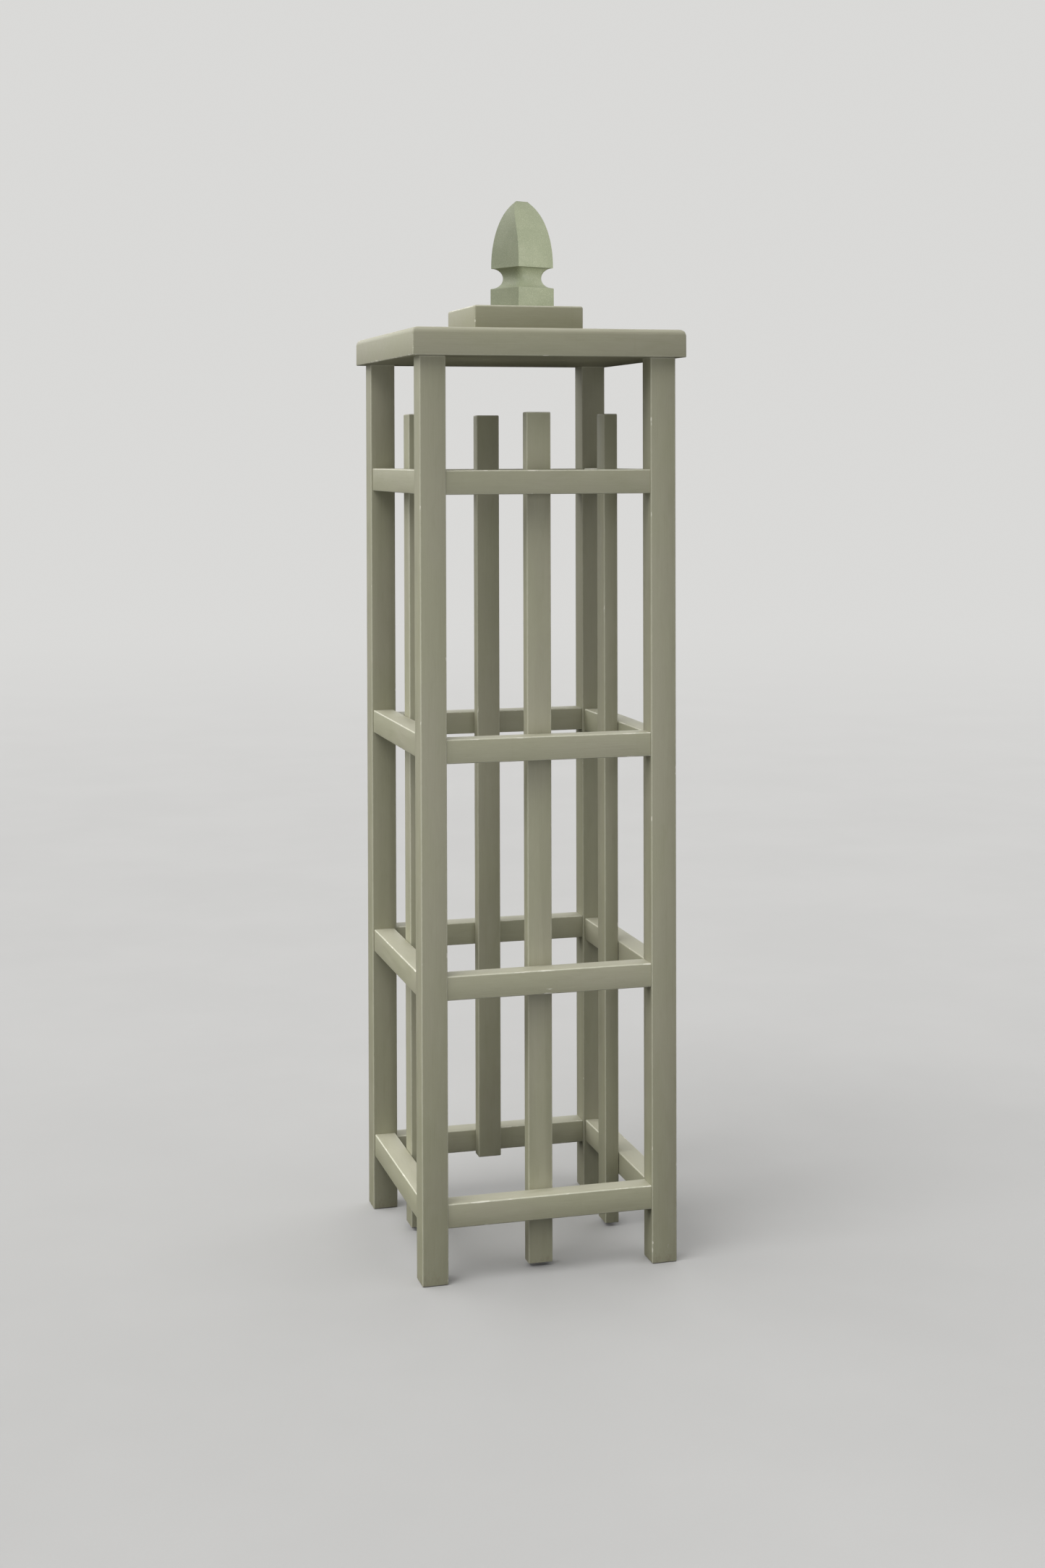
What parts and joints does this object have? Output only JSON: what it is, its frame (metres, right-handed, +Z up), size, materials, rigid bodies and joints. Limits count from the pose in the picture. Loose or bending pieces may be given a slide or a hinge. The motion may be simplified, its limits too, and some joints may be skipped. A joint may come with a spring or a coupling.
{
  "type": "garden obelisk",
  "caption": "Slim square painted timber garden obelisk with rails, inner slats, an overhanging cap board, a plinth block and an acorn finial, for climbing plants.",
  "frame": {"origin": "On the ground at the centre of the square tower.", "axes": "+Z is up, the front side faces -Y and the right side faces +X."},
  "size_m": [0.47, 0.47, 1.8036],
  "materials": {
    "sage_paint": "sage green exterior paint over smooth timber, satin, lightly chipped at the edges",
    "finial_paint": "slightly greener and finely speckled matt paint",
    "beech_dowel": "bare turned beech",
    "zinc_steel": "bright zinc plate"
  },
  "bodies": {
    "root": {"post_front_left": "sage_paint", "post_front_right": "sage_paint", "post_back_left": "sage_paint", "post_back_right": "sage_paint", "rail_front_bottom": "sage_paint", "rail_front_lower": "sage_paint", "rail_front_upper": "sage_paint", "rail_front_top": "sage_paint", "rail_right_bottom": "sage_paint", "rail_right_lower": "sage_paint", "rail_right_upper": "sage_paint", "rail_right_top": "sage_paint", "rail_back_bottom": "sage_paint", "rail_back_lower": "sage_paint", "rail_back_upper": "sage_paint", "rail_back_top": "sage_paint", "rail_left_bottom": "sage_paint", "rail_left_lower": "sage_paint", "rail_left_upper": "sage_paint", "rail_left_top": "sage_paint", "slat_front": "sage_paint", "slat_right": "sage_paint", "slat_back": "sage_paint", "slat_left": "sage_paint", "cap_board": "sage_paint", "plinth_block": "sage_paint", "finial": "finial_paint", "slat_dowel_front_bottom": "beech_dowel", "slat_dowel_front_lower": "beech_dowel", "slat_dowel_front_upper": "beech_dowel", "slat_dowel_front_top": "beech_dowel", "slat_dowel_right_bottom": "beech_dowel", "slat_dowel_right_lower": "beech_dowel", "slat_dowel_right_upper": "beech_dowel", "slat_dowel_right_top": "beech_dowel", "slat_dowel_back_bottom": "beech_dowel", "slat_dowel_back_lower": "beech_dowel", "slat_dowel_back_upper": "beech_dowel", "slat_dowel_back_top": "beech_dowel", "slat_dowel_left_bottom": "beech_dowel", "slat_dowel_left_lower": "beech_dowel", "slat_dowel_left_upper": "beech_dowel", "slat_dowel_left_top": "beech_dowel", "cap_dowel_front_left": "beech_dowel", "cap_dowel_front_right": "beech_dowel", "cap_dowel_back_left": "beech_dowel", "cap_dowel_back_right": "beech_dowel", "plinth_screw_front_left": "zinc_steel", "plinth_screw_front_right": "zinc_steel", "plinth_screw_back_left": "zinc_steel", "plinth_screw_back_right": "zinc_steel", "finial_screw": "zinc_steel"}
  },
  "joints": []
}
